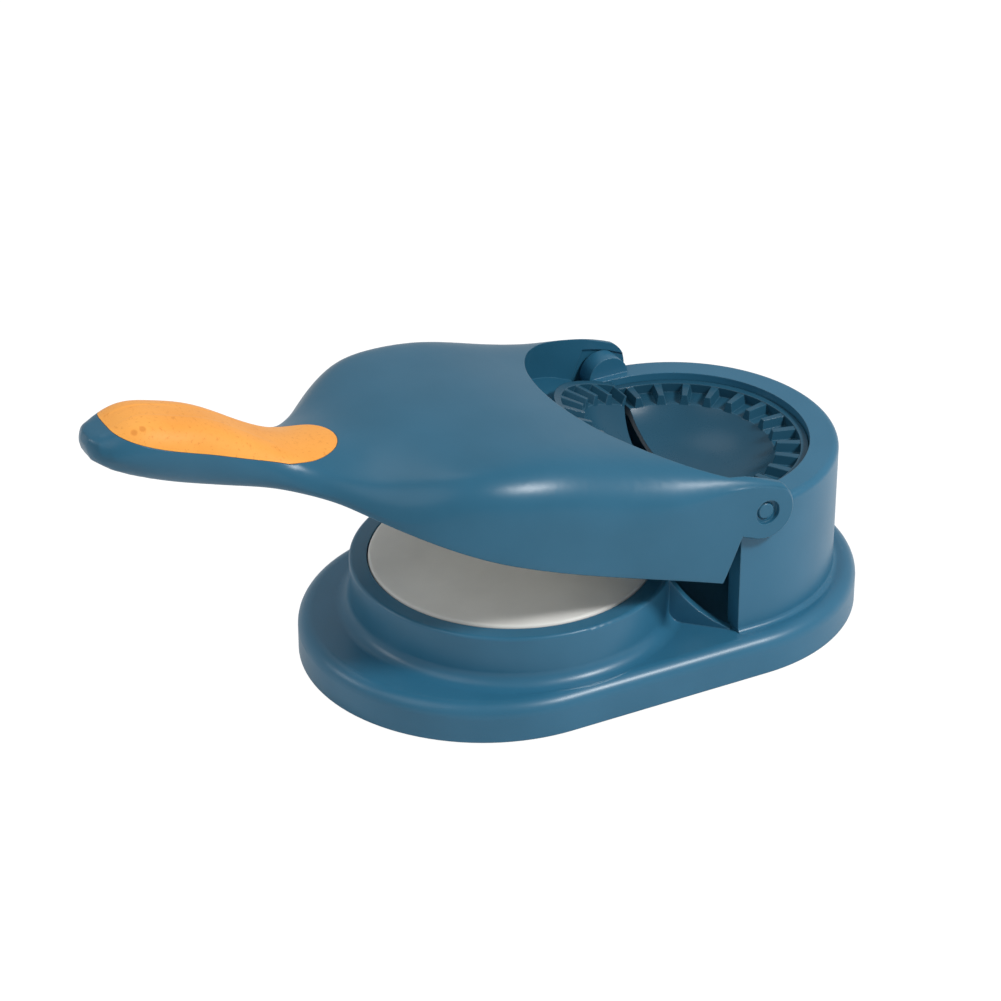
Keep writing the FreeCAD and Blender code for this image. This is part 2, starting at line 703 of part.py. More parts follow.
# Hinge pins, held in the lugs.
for side, word in ((1, "right"), (-1, "left")):
    pin = keep(new_body("hinge_pin_" + word))
    pin_profile = new_sketch(pin, "pin_%s_profile" % word, "XY_Plane")
    inner_end = pin_seat + dim("fit_gap")
    outer_end = dim("lever_half") - dim("pin_end_gap")
    nose = dim("pin_end_gap") / 2
    polygon(pin_profile, [
        (zero, inner_end),
        (dim("pin_radius") - nose, inner_end),
        (dim("pin_radius"), inner_end + nose),
        (dim("pin_radius"), outer_end - nose),
        (dim("pin_radius") - nose, outer_end),
        (zero, outer_end),
    ])
    turned(pin, pin_profile, "pin_%s_turn" % word)
    pin.Placement.Rotation = FreeCAD.Rotation(FreeCAD.Vector(0, 0, 1), 180 if side > 0 else 0)
    pin.setExpression("Placement.Base.x", hinge_x.text)
    pin.setExpression("Placement.Base.z", parting.text)


# Screws: a round head with a cross recess on a plain shank, pointing up from its head's underside.
def screw_shape(length):
    head = Part.makeCylinder(dim("screw_head").value, dim("screw_head_thick").value)
    shank_length = length.value + dim("screw_head_thick").value
    shank = Part.makeCylinder(dim("screw_radius").value, shank_length)
    solid = head.fuse(shank).removeSplitter()
    arm = dim("screw_head").value * 1.2
    slot = dim("screw_slot").value
    deep = dim("screw_head_thick").value * 0.5
    for turn in (0, 90):
        bar = Part.makeBox(arm, slot, deep, FreeCAD.Vector(-arm / 2, -slot / 2, 0))
        bar.rotate(FreeCAD.Vector(0, 0, 0), FreeCAD.Vector(0, 0, 1), turn)
        solid = solid.cut(bar)
    return solid.removeSplitter()


def screw_group(name, length, spots, x, height, downward=False):
    one = screw_shape(length)
    group = []
    for spot in spots:
        copy = one.copy()
        if downward:
            copy.rotate(FreeCAD.Vector(0, 0, 0), FreeCAD.Vector(1, 0, 0), 180)
        copy.translate(FreeCAD.Vector(x.value + spot[0].value, spot[1].value, height.value))
        group.append(copy)
    node = doc.addObject("Part::Feature", name)
    node.Label = name
    node.Shape = Part.makeCompound(group)
    return keep(node)


plate_axis = dim("plate_axis_x")
head_thick = dim("screw_head_thick")
cover_grip = dim("cover_thick") * 2.6
plate_grip = wall + dim("plate_thick") * 0.6
plate_heads = pocket_floor - wall - head_thick
screw_group("bottom_cover_screws", cover_grip, cover_posts, plate_axis, dim("cover_lift"))
screw_group("dough_plate_screws", plate_grip, plate_spots, plate_axis, plate_heads)
screw_group("rear_mould_screws", wall * 4, rear_spots, hinge_x, deck_bottom - head_thick)

# lever_shell: the sections from the ears to the tip of the handle.
# Each row: reach ahead of the hinge, half width, half width of the flat below, bottom, top, shoulder
# rounding and crown. Reach counts from 0 at the hinge to 1 over the front of the press disc and 2 at
# the tip of the handle, widths are shares of the half width, and heights and roundings are shares of
# the rise from the skirt to the ears.
lever_section_shares = [
    (-0.1083, 1.000, 0.988, 0.012, 1.000, 0.130, 0.016),
    (0.1418, 1.000, 0.988, -0.012, 1.000, 0.160, 0.022),
    (0.3328, 1.000, 0.988, -0.045, 0.958, 0.400, 0.034),
    (0.5258, 1.000, 0.988, -0.075, 0.912, 0.480, 0.056),
    (0.7168, 0.992, 0.980, -0.088, 0.838, 0.430, 0.062),
    (0.8606, 0.956, 0.944, -0.087, 0.719, 0.356, 0.068),
    (0.9768, 0.876, 0.864, -0.078, 0.590, 0.280, 0.085),
    (1.0736, 0.751, 0.734, -0.076, 0.444, 0.300, 0.129),
    (1.1528, 0.586, 0.555, -0.088, 0.325, 0.241, 0.171),
    (1.2219, 0.441, 0.377, -0.102, 0.264, 0.176, 0.174),
    (1.2930, 0.332, 0.242, -0.133, 0.210, 0.183, 0.142),
    (1.3905, 0.258, 0.151, -0.169, 0.198, 0.205, 0.081),
    (1.5104, 0.243, 0.131, -0.206, 0.243, 0.235, 0.022),
    (1.6485, 0.244, 0.128, -0.237, 0.302, 0.240, 0.022),
    (1.7725, 0.252, 0.132, -0.238, 0.281, 0.250, 0.022),
    (1.8862, 0.222, 0.110, -0.211, 0.200, 0.225, 0.020),
    (1.9553, 0.150, 0.062, -0.173, 0.040, 0.120, 0.016),
    (1.9898, 0.070, 0.024, -0.115, 0.000, 0.045, 0.008),
]
lever_reach = dim("lever_reach").value
lever_half = dim("lever_half").value
skirt_level = skirt_edge.value
lever_rise = parting.value + dim("ear_rise").value - skirt_level
head_reach = dim("hinge_reach").value + dim("press_radius").value
hinge = FreeCAD.Vector(hinge_x.value, 0, parting.value)
side_steps = 4
shoulder_steps = 4
crown_steps = 3


def ahead(share):
    if share <= 1:
        return hinge.x - share * head_reach
    return hinge.x - head_reach - (share - 1) * (lever_reach - head_reach)


def section_points(row, inset, drop):
    reach_share, half_share, foot_share, low_share, high_share, shoulder_share, crown_share = row
    x = ahead(reach_share)
    half = half_share * lever_half - inset
    foot = foot_share * lever_half - inset
    low = skirt_level + low_share * lever_rise - drop
    high = skirt_level + high_share * lever_rise - inset
    shoulder = min(max(shoulder_share * lever_rise - inset, wall.value / 5), half * 0.9)
    crown = crown_share * lever_rise
    dome = (half * half + crown * crown) / (2 * crown)
    offset = half - shoulder
    spring = high - dome + math.sqrt((dome - shoulder) ** 2 - offset ** 2)
    quarter = math.pi / 2
    lean = math.atan2(spring - high + dome, offset)
    outline = []
    for step in range(side_steps):
        angle = quarter * (step / side_steps - 1)
        bulge = (half - foot) * math.cos(angle)
        outline.append((foot + bulge, spring + (spring - low) * math.sin(angle)))
    for step in range(shoulder_steps):
        angle = lean * step / shoulder_steps
        outline.append((offset + shoulder * math.cos(angle), spring + shoulder * math.sin(angle)))
    for step in range(crown_steps + 1):
        angle = lean + (quarter - lean) * step / crown_steps
        outline.append((dome * math.cos(angle), high - dome + dome * math.sin(angle)))
    far = [(-y, z) for y, z in reversed(outline[:-1])]
    return [FreeCAD.Vector(x, y, z) for y, z in outline + far]


def spread(lines):
    # Mean distances along several lines of points, from 0 to 1.
    totals = [0.0] * len(lines[0])
    for line in lines:
        steps = [0.0]
        for here, there in zip(line, line[1:]):
            steps.append(steps[-1] + here.distanceToPoint(there))
        for index, step in enumerate(steps):
            totals[index] += step / steps[-1] / len(lines)
    return totals


def through(lines):
    # Smooth curves through several lines of points, all with the same knots.
    marks = spread(lines)
    curves = []
    for line in lines:
        curve = Part.BSplineCurve()
        curve.interpolate(Points=list(line), Parameters=marks)
        curves.append(curve)
    return curves


def lever_loft(rows, inset, drop):
    # One smooth skin over the sections, closed by a flat below and a flat at either end.
    rounds = through([section_points(row, inset, drop) for row in rows])
    lengths = through(list(zip(*[curve.getPoles() for curve in rounds])))
    surface = Part.BSplineSurface()
    surface.buildFromPolesMultsKnots(
        [line.getPoles() for line in lengths],
        rounds[0].getMultiplicities(),
        lengths[0].getMultiplicities(),
        rounds[0].getKnots(),
        lengths[0].getKnots(),
        False,
        False,
        rounds[0].Degree,
        lengths[0].Degree,
    )
    skin = surface.toShape()
    ends = []
    lower = []
    for edge in skin.Edges:
        first = edge.Vertexes[0].Point
        last = edge.Vertexes[-1].Point
        if abs(first.x - last.x) < wall.value / 10:
            ends.append(Part.Face(Part.Wire([edge, Part.makeLine(last, first)])))
        else:
            lower.append(edge)
    flat = Part.makeRuledSurface(lower[0], lower[1])
    shell = Part.makeShell([skin, flat] + ends)
    shell.sewShape()
    solid = Part.makeSolid(shell)
    if solid.Volume < 0:
        solid.reverse()
    return solid


def block(x0, x1, half, z0, z1):
    return Part.makeBox(x1 - x0, 2 * half, z1 - z0, FreeCAD.Vector(x0, -half, z0))


def upright(x, y, radius, z0, z1):
    return Part.makeCylinder(radius, z1 - z0, FreeCAD.Vector(x, y, z0))


def across(radius, half):
    start = FreeCAD.Vector(hinge.x, -half, hinge.z)
    return Part.makeCylinder(radius, 2 * half, start, FreeCAD.Vector(0, 1, 0))


past = overrun.value
wide = lever_half + past
tall = skirt_level + lever_rise + past
handle_rows = lever_section_shares[8:]
outer = lever_loft(lever_section_shares, 0, 0)
# Inside, the shoulders are rounder than outside and the hollow runs out past the ears.
inner_shoulder_share = 0.2
rear_share = 0.0689
hollow_rows = []
for number, row in enumerate(lever_section_shares[:9]):
    reach_share = row[0] - rear_share if number == 0 else row[0]
    hollow_rows.append((reach_share,) + row[1:5] + (max(row[5], inner_shoulder_share), row[6]))
hollow_drop = lever_rise * 0.2
cavity = lever_loft(hollow_rows, wall.value, hollow_drop)
skirt_x = hinge.x - dim("skirt_back").value
front_all = hinge.x - lever_reach - past
ear_radius = dim("ear_radius").value
ear_half = lever_half + wall.value / 4
ear_bar = block(skirt_x - past, hinge.x, ear_half, hinge.z - ear_radius, tall + past)
ear_form = across(ear_radius, ear_half).fuse(ear_bar).removeSplitter()
ear_outside = []
for edge in ear_form.Edges:
    side_edge = min(abs(vertex.Y) for vertex in edge.Vertexes) > ear_half * 0.999
    if side_edge and edge.BoundBox.ZMin < hinge.z and edge.BoundBox.XMax > skirt_x:
        ear_outside.append(edge)
ear_form = ear_form.makeFillet(dim("ear_edge").value, ear_outside)
trim = block(front_all, skirt_x, wide, 0, tall).fuse(ear_form)
ear_inside = dim("ear_inside").value
pan_back = hinge.x - dim("pan_back").value
pan_top = pan_level.value
pan_bottom = pan_top - wall.value
mouth_radius = dim("mouth_radius").value
ring = upright(hinge.x, 0, mouth_radius + wall.value, pan_bottom, tall)
ring = ring.common(block(front_all, pan_back, wide, 0, tall))
mouth = upright(hinge.x, 0, mouth_radius, pan_top, tall + past)
mouth = mouth.common(block(front_all, hinge.x + mouth_radius, ear_inside, 0, tall + past * 2))
rear_gap = block(pan_back, hinge.x + lever_half, ear_inside, 0, tall + past)

# The hollow goes round the mouth's wall and round the posts that carry the underside plate.
hollow_form = cavity.cut(ring)
post_radius = dim("post_radius").value
underside_spots = [
    (-plate_ring * 1.75, zero),
    (-plate_ring * 0.5, plate_ring * 1.55),
    (-plate_ring * 0.5, -plate_ring * 1.55),
    (plate_ring * 0.62, plate_ring * 1.72),
    (plate_ring * 0.62, -plate_ring * 1.72),
]
for spot in underside_spots:
    x = plate_axis.value + spot[0].value
    y = spot[1].value
    hollow_form = hollow_form.cut(upright(x, y, post_radius, underside_top.value, tall))
shell = outer.common(trim).cut(hollow_form).cut(mouth).cut(rear_gap)
for spot in underside_spots:
    x = plate_axis.value + spot[0].value
    y = spot[1].value
    shell = shell.cut(upright(x, y, dim("screw_radius").value, 0, underside_top.value + past))
shell = shell.cut(upright(hinge.x, 0, dim("pan_hole").value, 0, tall))
shell = shell.cut(across(dim("pin_radius").value + dim("pin_play").value, wide))
for side in (1, -1):
    face = side * (lever_half - dim("ring_depth").value)
    start = FreeCAD.Vector(hinge.x, face, hinge.z)
    outward = FreeCAD.Vector(0, side, 0)
    shell = shell.cut(Part.makeCylinder(dim("ring_radius").value, past, start, outward))

# thumb_grip: the soft inlay, its lower seam a curve seen from the side and its rear end round in plan.
grip_seam_shares = [
    (2.0300, 0.110),
    (1.9500, 0.092),
    (1.9056, 0.084),
    (1.8386, 0.080),
    (1.7609, 0.083),
    (1.6330, 0.094),
    (1.5030, 0.093),
    (1.3980, 0.095),
    (1.2500, 0.095),
    (1.1000, 0.095),
]


def grip_region(gap):
    points = []
    for reach_share, rise_share in grip_seam_shares:
        height = skirt_level + rise_share * lever_rise + gap
        points.append(FreeCAD.Vector(ahead(reach_share), -wide, height))
    seam = Part.BSplineCurve()
    seam.interpolate(points)
    roof = [
        points[-1],
        FreeCAD.Vector(points[-1].x, -wide, tall),
        FreeCAD.Vector(points[0].x, -wide, tall),
        points[0],
    ]
    side_wire = Part.Wire([seam.toShape()] + Part.makePolygon(roof).Edges)
    side_form = Part.Face(side_wire).extrude(FreeCAD.Vector(0, 2 * wide, 0))
    end = dim("grip_round").value - gap
    end_x = ahead(1.3050)
    flare_x = end_x - end * 2.1
    flare = lever_half * 0.27
    bulge = lever_half * 0.235
    front = points[0].x - past
    low = 0
    curve = Part.BSplineCurve()
    curve.interpolate([
        FreeCAD.Vector(flare_x, flare, low),
        FreeCAD.Vector((flare_x + end_x) / 2, bulge - gap, low),
        FreeCAD.Vector(end_x, end, low),
        FreeCAD.Vector(end_x + end * math.sqrt(0.5), end * math.sqrt(0.5), low),
        FreeCAD.Vector(end_x + end, 0, low),
        FreeCAD.Vector(end_x + end * math.sqrt(0.5), -end * math.sqrt(0.5), low),
        FreeCAD.Vector(end_x, -end, low),
        FreeCAD.Vector((flare_x + end_x) / 2, -bulge + gap, low),
        FreeCAD.Vector(flare_x, -flare, low),
    ])
    back = [
        FreeCAD.Vector(flare_x, -flare, low),
        FreeCAD.Vector(front, -flare, low),
        FreeCAD.Vector(front, flare, low),
        FreeCAD.Vector(flare_x, flare, low),
    ]
    plan_wire = Part.Wire([curve.toShape()] + Part.makePolygon(back).Edges)
    plan_form = Part.Face(plan_wire).extrude(FreeCAD.Vector(0, 0, tall))
    return side_form.common(plan_form)


core = lever_loft(handle_rows[:-1], dim("grip_depth").value, 0)
shell = shell.cut(grip_region(0).cut(core))
grip = outer.common(grip_region(dim("grip_seam").value)).cut(core)


def lever_node(name, shape):
    node = doc.addObject("Part::Feature", name)
    node.Label = name
    if len(shape.Solids) == 1:
        shape = shape.Solids[0]
    node.Shape = shape
    return keep(node)


lever_node("lever_shell", shell)
lever_node("thumb_grip", grip)

# lever_underside: closes the skirt, carries the press disc and the mould.
inner_plan = lever_loft(hollow_rows, wall.value + dim("fit_gap").value, hollow_drop)
slab = block(front_all, pan_back, wide, underside_level.value, underside_top.value)
underside = inner_plan.common(slab)
sink_radius = dim("screw_head").value + dim("fit_gap").value
sink_top = underside_level.value + head_thick.value
for spot in plate_spots:
    x = plate_axis.value + spot[0].value
    underside = underside.cut(upright(x, spot[1].value, dim("screw_radius").value, 0, tall))
sunk_spots = [(plate_axis + spot[0], spot[1]) for spot in underside_spots]
sunk_spots += [(hinge_x + spot[0], spot[1]) for spot in front_spots]
for spot in sunk_spots:
    x = spot[0].value
    y = spot[1].value
    underside = underside.cut(upright(x, y, dim("screw_radius").value, 0, tall))
    underside = underside.cut(upright(x, y, sink_radius, 0, sink_top))
lever_node("lever_underside", underside)
skirt_grip = dim("underside_thick") * 2.0
press_grip = dim("underside_thick") + dim("press_thick") * 0.6
press_heads = underside_top + head_thick
mould_grip = dim("underside_thick") * 1.6
screw_group("lever_underside_screws", skirt_grip, underside_spots, plate_axis, underside_level)
screw_group("press_disc_screws", press_grip, plate_spots, plate_axis, press_heads, True)
screw_group("front_mould_screws", mould_grip, front_spots, hinge_x, underside_level)
doc.recompute()

# The lever and all that it carries are turned up about the hinge.
lift = FreeCAD.Rotation(FreeCAD.Vector(0, 1, 0), dim("raise_angle").value)
for name, shift in (
    ("lever_shell", 0.0),
    ("thumb_grip", 0.0),
    ("lever_underside", 0.0),
    ("lever_underside_screws", 0.0),
    ("press_disc", plate_axis.value),
    ("press_disc_screws", 0.0),
    ("front_mould", hinge_x.value),
    ("front_mould_screws", 0.0),
):
    node = doc.getObject(name)
    here = FreeCAD.Placement(FreeCAD.Vector(shift, 0, 0), FreeCAD.Rotation())
    node.Placement = FreeCAD.Placement(FreeCAD.Vector(0, 0, 0), lift, hinge).multiply(here)
doc.recompute()

faults = []
for thing in doc.Objects:
    state = [word for word in thing.State if word in ("Invalid", "Error")]
    if state:
        faults.append("%s: %s" % (thing.Name, state))
for node in pieces:
    if node.Shape.isNull() or not node.Shape.isValid():
        faults.append("%s: bad shape" % node.Label)
if faults:
    raise RuntimeError("; ".join(faults))
os.makedirs("parts", exist_ok=True)
for node in pieces:
    node.Shape.exportStep("parts/%s.step" % node.Label)
    print(node.Label, len(node.Shape.Solids), round(node.Shape.Volume / 1000, 2))
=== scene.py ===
import math

import bmesh
import bpy
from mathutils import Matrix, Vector


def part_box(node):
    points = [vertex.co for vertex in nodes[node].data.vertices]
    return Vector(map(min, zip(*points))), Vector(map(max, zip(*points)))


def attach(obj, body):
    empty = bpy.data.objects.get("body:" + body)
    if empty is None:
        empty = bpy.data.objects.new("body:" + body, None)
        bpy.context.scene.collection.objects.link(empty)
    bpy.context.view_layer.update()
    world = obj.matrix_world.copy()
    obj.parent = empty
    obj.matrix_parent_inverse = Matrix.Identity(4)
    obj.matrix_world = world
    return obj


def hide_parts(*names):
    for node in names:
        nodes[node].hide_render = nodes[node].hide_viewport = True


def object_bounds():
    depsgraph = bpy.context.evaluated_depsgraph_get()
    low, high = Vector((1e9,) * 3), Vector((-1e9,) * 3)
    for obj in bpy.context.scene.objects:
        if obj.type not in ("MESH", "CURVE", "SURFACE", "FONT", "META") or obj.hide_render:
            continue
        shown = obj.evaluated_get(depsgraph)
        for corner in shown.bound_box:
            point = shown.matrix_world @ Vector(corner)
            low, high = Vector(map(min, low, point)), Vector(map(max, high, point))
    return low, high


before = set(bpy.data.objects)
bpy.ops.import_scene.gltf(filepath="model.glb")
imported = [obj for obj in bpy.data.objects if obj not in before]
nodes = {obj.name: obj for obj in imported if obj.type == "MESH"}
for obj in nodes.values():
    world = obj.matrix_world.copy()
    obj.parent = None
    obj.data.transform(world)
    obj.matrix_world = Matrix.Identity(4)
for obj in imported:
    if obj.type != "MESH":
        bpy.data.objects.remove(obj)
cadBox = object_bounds()
scene = bpy.context.scene
print("frame loaded:", len(nodes), "solids")


class Line:  # one output socket, with arithmetic that adds Math nodes
    def __init__(self, graph, socket):
        self.graph = graph
        self.socket = socket

    def pair(self, operation, first, second):
        node = self.graph.add("ShaderNodeMath", {"operation": operation}, {0: first, 1: second})
        return Line(self.graph, node.outputs[0])

    def __add__(self, other):
        return self.pair("ADD", self, other)

    def __radd__(self, other):
        return self.pair("ADD", other, self)

    def __sub__(self, other):
        return self.pair("SUBTRACT", self, other)

    def __rsub__(self, other):
        return self.pair("SUBTRACT", other, self)

    def __mul__(self, other):
        return self.pair("MULTIPLY", self, other)

    def __rmul__(self, other):
        return self.pair("MULTIPLY", other, self)

    def __truediv__(self, other):
        return self.pair("DIVIDE", self, other)

    def __rtruediv__(self, other):
        return self.pair("DIVIDE", other, self)


class Graph:  # the nodes of one material or world
    def __init__(self, owner):
        owner.use_nodes = True
        self.tree = owner.node_tree
        self.tree.nodes.clear()

    def add(self, kind, settings=None, sockets=None):
        node = self.tree.nodes.new(kind)
        for name, value in (settings or {}).items():
            if name == "stops":
                ramp = node.color_ramp
                while len(ramp.elements) < len(value):
                    ramp.elements.new(1.0)
                for stop, (place, shade) in zip(ramp.elements, value):
                    stop.position = place
                    stop.color = (shade, shade, shade, 1)
            else:
                setattr(node, name, value)
        for name, value in (sockets or {}).items():
            if isinstance(value, Line):
                self.tree.links.new(value.socket, node.inputs[name])
            else:
                node.inputs[name].default_value = value
        return node

    def line(self, kind, settings=None, sockets=None, output=0):
        return Line(self, self.add(kind, settings, sockets).outputs[output])

    def place(self):  # where a point lies on the object, in metres
        return self.line("ShaderNodeTexCoord", output="Object")

    def noise(self, where, size, detail=2.0, rough=0.5):  # size in metres
        sockets = {"Vector": where, "Scale": 1 / size, "Detail": detail, "Roughness": rough}
        return self.line("ShaderNodeTexNoise", {}, sockets)

    def ramp(self, value, low, high):
        stops = [(low, 0.0), (high, 1.0)]
        return self.line("ShaderNodeValToRGB", {"stops": stops}, {"Fac": value})

    def blend(self, factor, one, two):
        sockets = {"Factor": factor, "A": one, "B": two}
        node = self.add("ShaderNodeMix", {"data_type": "RGBA"}, {})
        for name, value in sockets.items():
            socket = next(s for s in node.inputs if s.name == name and s.enabled)
            if isinstance(value, Line):
                self.tree.links.new(value.socket, socket)
            else:
                socket.default_value = value
        return Line(self, next(s for s in node.outputs if s.enabled))

    def reach(self, where, centre):  # distance from a point or an upright axis
        step = self.line("ShaderNodeVectorMath", {"operation": "SUBTRACT"}, {0: where, 1: centre})
        return self.line("ShaderNodeVectorMath", {"operation": "LENGTH"}, {0: step}, "Value")

    def flatReach(self, where, centre):
        step = self.line("ShaderNodeVectorMath", {"operation": "SUBTRACT"}, {0: where, 1: centre})
        flat = self.line("ShaderNodeVectorMath", {"operation": "MULTIPLY"}, {0: step, 1: (1, 1, 0)})
        return self.line("ShaderNodeVectorMath", {"operation": "LENGTH"}, {0: flat}, "Value")


def colour(red, green, blue):  # screen values 0 to 255, as a linear colour
    def linear(value):
        value = value / 255
        return value / 12.92 if value <= 0.04045 else ((value + 0.055) / 1.055) ** 2.4
    return (linear(red), linear(green), linear(blue), 1.0)


def edgeMask(graph, radius):  # 1 along edges that turn sharply, 0 on open surface
    bevel = graph.line("ShaderNodeBevel", {"samples": 6}, {"Radius": radius})
    normal = graph.line("ShaderNodeNewGeometry", output="Normal")
    facing = graph.line("ShaderNodeVectorMath", {"operation": "DOT_PRODUCT"}, {0: bevel, 1: normal}, "Value")
    return bevel, graph.ramp(1 - facing, 0.01, 0.16)


def finishMaterial(graph, shades, rough, heights, bumpSettings, constants, edge=None):
    bump = {"Height": heights, "Distance": bumpSettings["distance"], "Strength": bumpSettings["strength"]}
    if edge is not None:
        bump["Normal"] = edge
    normal = graph.line("ShaderNodeBump", {}, bump)
    sockets = {"Base Color": shades, "Roughness": rough, "Normal": normal}
    sockets.update(constants)
    shader = graph.line("ShaderNodeBsdfPrincipled", {}, sockets)
    graph.add("ShaderNodeOutputMaterial", {}, {"Surface": shader})


def glossyPlastic(name, look):
    # moulded ABS: faint flow clouds, a fine spark-eroded grain, and a painted highlight that lightens the
    # sharp edges
    material = bpy.data.materials.new(name)
    graph = Graph(material)
    where = graph.place()
    clouds = graph.noise(where, look["cloudSize"], 3.0)
    grain = graph.noise(where, look["grainSize"], 2.0, 0.6)
    smudge = graph.noise(where, look["smudgeSize"], 4.0, 0.6)
    bevel, edges = edgeMask(graph, look["edgeRadius"])
    base = graph.blend(graph.ramp(clouds, 0.3, 0.7), look["deep"], look["pale"])
    # painted highlight: sharp edges are blended towards a lighter blue
    shades = graph.blend(edges * look["edgeHighlightShare"], base, look["edgeHighlight"])
    rough = look["rough"] + (smudge - 0.5) * look["smudge"] + (grain - 0.5) * look["grainRough"]
    finishMaterial(graph, shades, rough, grain, look["bump"],
                   {"IOR": 1.5, "Specular IOR Level": look["shine"]}, bevel)
    return material


shellLook = {
    # the edge colour and its share are a painted highlight along sharp edges
    "deep": colour(38, 94, 121), "pale": colour(44, 100, 128), "edgeHighlight": colour(112, 158, 182),
    "cloudSize": 0.03, "grainSize": 0.00035, "smudgeSize": 0.012,
    "edgeRadius": 0.0005, "edgeHighlightShare": 0.14,
    "rough": 0.33, "smudge": 0.06, "grainRough": 0.04, "shine": 0.31,
    "bump": {"distance": 0.00002, "strength": 0.25},
}
# painted light: the base is the shell's own blue made lighter, for the light it gets
litBaseLook = dict(shellLook, rough=0.34, shine=0.42, deep=colour(41, 100, 129), pale=colour(47, 106, 136))
# painted shade: the moulds are the shell's blue made darker, for the shade inside the tower and under the
# lever
shadedMouldLook = dict(shellLook, rough=0.28, shine=0.22, deep=colour(32, 76, 98), pale=colour(38, 83, 106))
coverLook = dict(shellLook, rough=0.42, shine=0.24, grainSize=0.0006,
                 bump={"distance": 0.00005, "strength": 0.4})
# the pins get a stronger painted edge highlight
pinLook = dict(shellLook, rough=0.33, edgeHighlightShare=0.5)


def ivoryDisc(name, look, centre):
    # pale plastic with turning rings too fine to count, a few specks, and a painted highlight along its
    # rounded edge
    material = bpy.data.materials.new(name)
    graph = Graph(material)
    where = graph.place()
    rings = graph.line("ShaderNodeMath", {"operation": "SINE"},
                       {0: graph.flatReach(where, centre) * (2 * math.pi / look["ringPitch"])})
    grain = graph.noise(where, look["grainSize"], 2.0)
    clouds = graph.noise(where, look["cloudSize"], 3.0)
    bevel, edges = edgeMask(graph, look["edgeRadius"])
    base = graph.blend(graph.ramp(clouds, 0.3, 0.7), look["deep"], look["pale"])
    # painted highlight: the plate's edge is blended to near white
    shades = graph.blend(edges * look["edgeHighlightShare"], base, look["edgeHighlight"])
    rough = look["rough"] + rings * look["ringRough"] + (grain - 0.5) * look["grainRough"]
    finishMaterial(graph, shades, rough, grain + rings * look["ringHeight"], look["bump"],
                   {"IOR": 1.48, "Specular IOR Level": 0.3}, bevel)
    return material


discLook = {
    # near-white edge colour at a share of 0.9 is a painted highlight on the plate's rim
    "deep": colour(221, 220, 215), "pale": colour(233, 232, 227), "edgeHighlight": colour(255, 255, 252),
    "cloudSize": 0.025, "grainSize": 0.0004, "ringPitch": 0.0007,
    "ringRough": 0.03, "grainRough": 0.08, "ringHeight": 0.35,
    "edgeRadius": 0.0007, "edgeHighlightShare": 0.9, "rough": 0.36,
    "bump": {"distance": 0.00001, "strength": 0.3},
}


def softGrip(name, look):
    # soft-touch elastomer: close stipple, a little bloom, and two ejector dimples by the tip darkened with
    # painted shade
    material = bpy.data.materials.new(name)
    graph = Graph(material)
    where = graph.place()
    stipple = graph.line("ShaderNodeTexVoronoi", {"feature": "F1"},
                         {"Vector": where, "Scale": 1 / look["stippleSize"], "Randomness": 1.0})
    speckle = graph.noise(where, look["speckleSize"], 2.0, 0.7)
    clouds = graph.noise(where, look["cloudSize"], 3.0)
    pits = None
    for dimple in look["dimples"]:
        pit = graph.ramp(graph.reach(where, dimple) / look["dimpleRadius"], 0.55, 1.0)
        pits = pit if pits is None else pits * pit
    base = graph.blend(graph.ramp(clouds, 0.3, 0.7), look["deep"], look["pale"])
    flecked = graph.blend(graph.ramp(speckle, 0.58, 0.72) * look["fleck"], base, look["fleckAndPaintedPitShade"])
    # painted shade: the dimples are darkened towards the fleck colour
    shades = graph.blend((1 - pits) * look["dimplePaintedShade"], flecked, look["fleckAndPaintedPitShade"])
    rough = look["rough"] + (speckle - 0.5) * look["speckleRough"]
    heights = stipple * look["stippleHeight"] + speckle * look["speckleHeight"] + pits * look["dimpleHeight"]
    finishMaterial(graph, shades, rough, heights, look["bump"],
                   {"IOR": 1.45, "Specular IOR Level": 0.25, "Sheen Weight": 0.12, "Sheen Roughness": 0.4})
    return material


gripLook = {
    "deep": colour(245, 163, 72), "pale": colour(253, 176, 84), "fleckAndPaintedPitShade": colour(200, 108, 36),
    "stippleSize": 0.0008, "speckleSize": 0.0012, "cloudSize": 0.02,
    "fleck": 0.35, "rough": 0.5, "speckleRough": 0.15,
    "stippleHeight": 0.35, "speckleHeight": 0.35, "dimpleHeight": 1.6,
    "dimpleRadius": 0.0012, "dimplePaintedShade": 0.45,
    "dimples": [(-0.1167, -0.0092, 0.1103), (-0.1140, -0.0091, 0.1108)],
    "bump": {"distance": 0.00012, "strength": 0.45},
}


def footRubber(name, look):
    material = bpy.data.materials.new(name)
    graph = Graph(material)
    where = graph.place()
    grain = graph.noise(where, look["grainSize"], 3.0, 0.7)
    dust = graph.noise(where, look["dustSize"], 4.0, 0.6)
    shades = graph.blend(graph.ramp(dust, 0.5, 0.75) * look["dust"], look["deep"], look["pale"])
    rough = look["rough"] + (grain - 0.5) * 0.2
    finishMaterial(graph, shades, rough, grain, look["bump"], {"IOR": 1.5, "Specular IOR Level": 0.3})
    return material


rubberLook = {
    "deep": colour(34, 36, 38), "pale": colour(92, 92, 90), "grainSize": 0.0005, "dustSize": 0.004,
    "dust": 0.4, "rough": 0.78, "bump": {"distance": 0.0001, "strength": 0.5},
}


def zincScrew(name, look):
    material = bpy.data.materials.new(name)
    graph = Graph(material)
    where = graph.place()
    film = graph.noise(where, look["filmSize"], 3.0)
    scratch = graph.noise(where, look["scratchSize"], 2.0, 0.7)
    shades = graph.blend(graph.ramp(film, 0.35, 0.7), look["deep"], look["pale"])
    rough = look["rough"] + (scratch - 0.5) * look["scratch"]
    finishMaterial(graph, shades, rough, scratch, look["bump"], {"Metallic": 1.0})
    return material


screwLook = {
    "deep": colour(150, 152, 156), "pale": colour(188, 188, 184), "filmSize": 0.0025,
    "scratchSize": 0.0004, "scratch": 0.25, "rough": 0.33,
    "bump": {"distance": 0.00003, "strength": 0.4},
}

